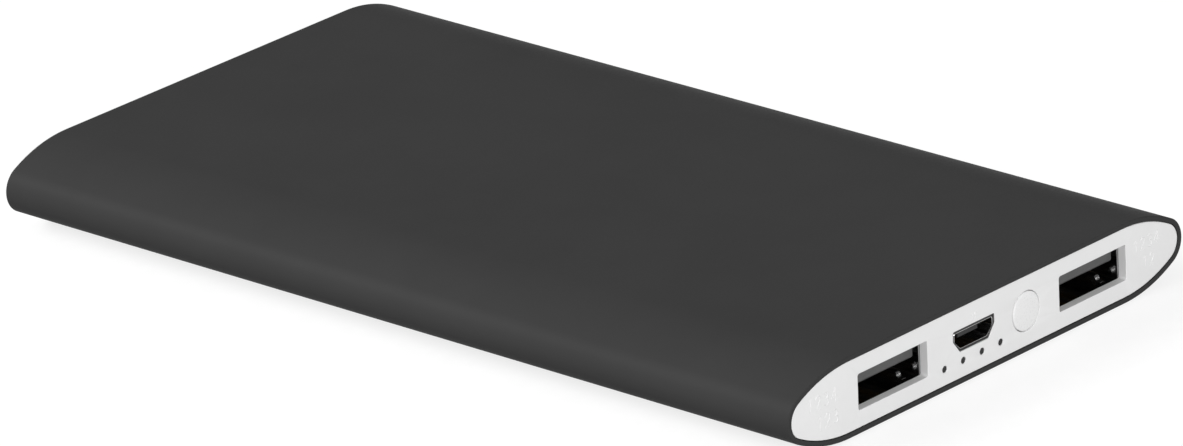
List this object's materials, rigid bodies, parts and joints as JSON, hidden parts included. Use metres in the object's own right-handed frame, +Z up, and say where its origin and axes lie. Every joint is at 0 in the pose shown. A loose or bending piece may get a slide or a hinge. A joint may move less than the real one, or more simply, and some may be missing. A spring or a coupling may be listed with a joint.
{
  "type": "power bank",
  "caption": "Slim flat power bank with a metal sleeve and, on one white end, USB-A outlets, a micro-USB inlet, a push button and charge lights.",
  "frame": {"origin": "middle of the flat underside, half way along and across the sleeve", "axes": "+X across the width, to the right when the port end is faced; +Y along the length, from the port end to the blank end; +Z up, out of the flat top"},
  "size_m": [0.074, 0.128, 0.0104],
  "materials": {
    "sleeve": "matte painted",
    "panel_white": "fine matte",
    "button_white": "satin",
    "adhesive": "soft tape",
    "bracket": "matte",
    "screw_steel": "zinc plated",
    "smoked_plastic": "smoked clear",
    "board_green": "solder mask",
    "usb_a_steel": "polished folded sheet",
    "socket_steel": "folded sheet",
    "socket_black": "moulded",
    "contact_gold": "plated",
    "plunger_plastic": "moulded",
    "led_clear": "clear",
    "ferrite": "sintered",
    "copper_wire": "enamelled copper",
    "chip_black": "moulded",
    "capacitor_can": "drawn can",
    "capacitor_tan": "ceramic",
    "film_amber": "amber film",
    "tab_nickel": "nickel strip",
    "pouch_foil": "laminated foil",
    "foam_black": "closed-cell foam",
    "wire_red": "insulated",
    "wire_black": "insulated",
    "thermistor_bead": "dipped bead"
  },
  "bodies": {
    "housing": {"sleeve": "sleeve", "front_panel": "panel_white", "rear_panel": "panel_white", "front_adhesive": "adhesive", "rear_adhesive": "adhesive", "cell_adhesive": "adhesive", "front_bracket": "bracket", "rear_bracket": "bracket", "cell_frame": "bracket", "front_screws": "screw_steel", "rear_screws": "screw_steel", "pcb_screws": "screw_steel", "light_pipe": "smoked_plastic", "main_pcb": "board_green", "cell_board": "board_green", "usb_a_shell_left": "usb_a_steel", "usb_a_shell_right": "usb_a_steel", "micro_usb_shell": "socket_steel", "switch_cover": "socket_steel", "switch_dome": "socket_steel", "usb_a_tongue_left": "socket_black", "usb_a_tongue_right": "socket_black", "micro_usb_tongue": "socket_black", "switch_body": "socket_black", "usb_a_contacts_left": "contact_gold", "usb_a_contacts_right": "contact_gold", "micro_usb_contacts": "contact_gold", "status_leds": "led_clear", "power_inductor": "ferrite", "inductor_coil": "copper_wire", "controller_ic": "chip_black", "power_mosfets": "chip_black", "chip_resistors": "chip_black", "bulk_capacitor": "capacitor_can", "ceramic_capacitors": "capacitor_tan", "insulator_sheet": "film_amber", "cell_tape": "film_amber", "cell_tabs": "tab_nickel", "cell_upper": "pouch_foil", "cell_lower": "pouch_foil", "foam_pads": "foam_black", "wire_red": "wire_red", "wire_black": "wire_black", "thermistor": "thermistor_bead"},
    "button": {"power_button": "button_white"},
    "plunger": {"switch_plunger": "plunger_plastic"}
  },
  "joints": [
    {"name": "button_press", "type": "slide", "parent": "housing", "child": "button", "axis": [0, 1, 0], "range_m": [0, 0.0003], "stiffness_N_per_m": 2000},
    {"name": "switch_travel", "type": "slide", "parent": "housing", "child": "plunger", "axis": [0, 1, 0], "range_m": [0, 0.0003]}
  ],
  "couplings": [
    {"joint": "switch_travel", "follows": "button_press", "ratio": 1}
  ]
}
